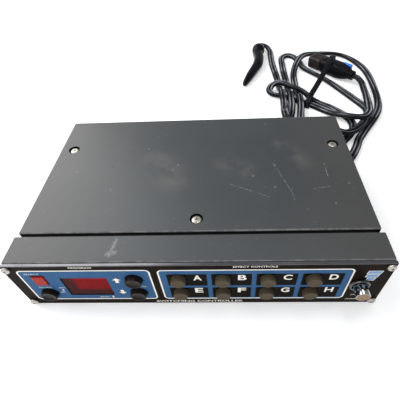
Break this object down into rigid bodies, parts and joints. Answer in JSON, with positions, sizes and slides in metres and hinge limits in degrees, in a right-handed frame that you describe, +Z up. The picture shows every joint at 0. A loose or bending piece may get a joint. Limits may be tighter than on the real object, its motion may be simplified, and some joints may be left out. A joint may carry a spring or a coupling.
{
  "type": "rack effects unit",
  "caption": "Low half-width switching controller with panel buttons, red display window, plated power button, mains lead and control lead.",
  "frame": {"origin": "under the middle of the case, at the height that its underside rests on, halfway between the power button's face and the fuse holder's cap", "axes": "+Z up, front panel towards -Y, +X to the right as the panel is read"},
  "size_m": [0.2967, 0.3725, 0.0444],
  "materials": {
    "case_paint": "satin grey paint, fine texture",
    "panel_paint": "satin black with a brown cast, printed legends",
    "plated_steel": "bright nickel plating",
    "chrome": "mirror plating",
    "zinc_steel": "zinc plated sheet and laminations",
    "grey_cap": "satin warm grey moulding",
    "black_plastic": "satin black moulding",
    "brown_plastic": "dark brown moulded cover",
    "red_filter": "dark red filter sheet",
    "red_lens": "translucent red moulding",
    "circuit_board": "green solder mask",
    "coil_tape": "yellow winding tape",
    "lead_rubber": "glossy black cord jacket",
    "brass": "plain",
    "aluminium": "plain",
    "ribbon": "grey flat cable",
    "capacitor_sleeve": "dark blue sleeve"
  },
  "bodies": {
    "case": {"top_cover": "case_paint", "front_frame": "case_paint", "chassis": "zinc_steel", "transformer_core": "zinc_steel", "front_panel": "panel_paint", "cover_screw_left": "plated_steel", "cover_screw_right": "plated_steel", "cover_screw_front": "plated_steel", "panel_screw_top_left": "plated_steel", "panel_screw_bottom_left": "plated_steel", "panel_screw_top_right": "plated_steel", "panel_screw_bottom_right": "plated_steel", "power_bushing": "plated_steel", "control_jack_1": "plated_steel", "control_jack_2": "plated_steel", "control_jack_3": "plated_steel", "power_switch": "black_plastic", "display_module": "black_plastic", "processor": "black_plastic", "memory": "black_plastic", "regulator": "black_plastic", "fuse_holder": "black_plastic", "din_socket_1": "black_plastic", "din_socket_2": "black_plastic", "control_plug": "black_plastic", "end_plug": "black_plastic", "blade_guard": "brown_plastic", "display_window": "red_filter", "indicator_lens": "red_lens", "indicator_lamp": "red_lens", "control_board": "circuit_board", "main_board": "circuit_board", "transformer_coil": "coil_tape", "mains_lead": "lead_rubber", "control_lead": "lead_rubber", "mains_plug": "lead_rubber", "strain_relief": "lead_rubber", "lead_strap": "lead_rubber", "plug_blade_1": "brass", "plug_blade_2": "brass", "board_pillar_1": "brass", "board_pillar_2": "brass", "board_pillar_3": "brass", "board_pillar_4": "brass", "heat_sink": "aluminium", "ribbon_cable": "ribbon", "filter_capacitor_1": "capacitor_sleeve", "filter_capacitor_2": "capacitor_sleeve"},
    "channel_button_a": {"channel_button_a": "grey_cap"},
    "channel_button_b": {"channel_button_b": "grey_cap"},
    "channel_button_c": {"channel_button_c": "grey_cap"},
    "channel_button_d": {"channel_button_d": "grey_cap"},
    "channel_button_e": {"channel_button_e": "grey_cap"},
    "channel_button_f": {"channel_button_f": "grey_cap"},
    "channel_button_g": {"channel_button_g": "grey_cap"},
    "channel_button_h": {"channel_button_h": "grey_cap"},
    "step_up_button": {"step_up_button": "black_plastic"},
    "step_down_button": {"step_down_button": "black_plastic"},
    "store_button": {"store_button": "black_plastic"},
    "power_button": {"power_button": "chrome"}
  },
  "joints": [
    {"name": "channel_button_a_press", "type": "slide", "parent": "case", "child": "channel_button_a", "axis": [0, 1, 0], "range_m": [0, 0.0015], "stiffness_N_per_m": 700, "springref_m": -0.0006},
    {"name": "channel_button_b_press", "type": "slide", "parent": "case", "child": "channel_button_b", "axis": [0, 1, 0], "range_m": [0, 0.0015], "stiffness_N_per_m": 700, "springref_m": -0.0006},
    {"name": "channel_button_c_press", "type": "slide", "parent": "case", "child": "channel_button_c", "axis": [0, 1, 0], "range_m": [0, 0.0015], "stiffness_N_per_m": 700, "springref_m": -0.0006},
    {"name": "channel_button_d_press", "type": "slide", "parent": "case", "child": "channel_button_d", "axis": [0, 1, 0], "range_m": [0, 0.0015], "stiffness_N_per_m": 700, "springref_m": -0.0006},
    {"name": "channel_button_e_press", "type": "slide", "parent": "case", "child": "channel_button_e", "axis": [0, 1, 0], "range_m": [0, 0.0015], "stiffness_N_per_m": 700, "springref_m": -0.0006},
    {"name": "channel_button_f_press", "type": "slide", "parent": "case", "child": "channel_button_f", "axis": [0, 1, 0], "range_m": [0, 0.0015], "stiffness_N_per_m": 700, "springref_m": -0.0006},
    {"name": "channel_button_g_press", "type": "slide", "parent": "case", "child": "channel_button_g", "axis": [0, 1, 0], "range_m": [0, 0.0015], "stiffness_N_per_m": 700, "springref_m": -0.0006},
    {"name": "channel_button_h_press", "type": "slide", "parent": "case", "child": "channel_button_h", "axis": [0, 1, 0], "range_m": [0, 0.0015], "stiffness_N_per_m": 700, "springref_m": -0.0006},
    {"name": "step_up_button_press", "type": "slide", "parent": "case", "child": "step_up_button", "axis": [0, 1, 0], "range_m": [0, 0.0015], "stiffness_N_per_m": 700, "springref_m": -0.0006},
    {"name": "step_down_button_press", "type": "slide", "parent": "case", "child": "step_down_button", "axis": [0, 1, 0], "range_m": [0, 0.0015], "stiffness_N_per_m": 700, "springref_m": -0.0006},
    {"name": "store_button_press", "type": "slide", "parent": "case", "child": "store_button", "axis": [0, 1, 0], "range_m": [0, 0.0015], "stiffness_N_per_m": 700, "springref_m": -0.0006},
    {"name": "power_button_press", "type": "slide", "parent": "case", "child": "power_button", "axis": [0, 1, 0], "range_m": [0, 0.003], "stiffness_N_per_m": 600, "springref_m": -0.001}
  ]
}
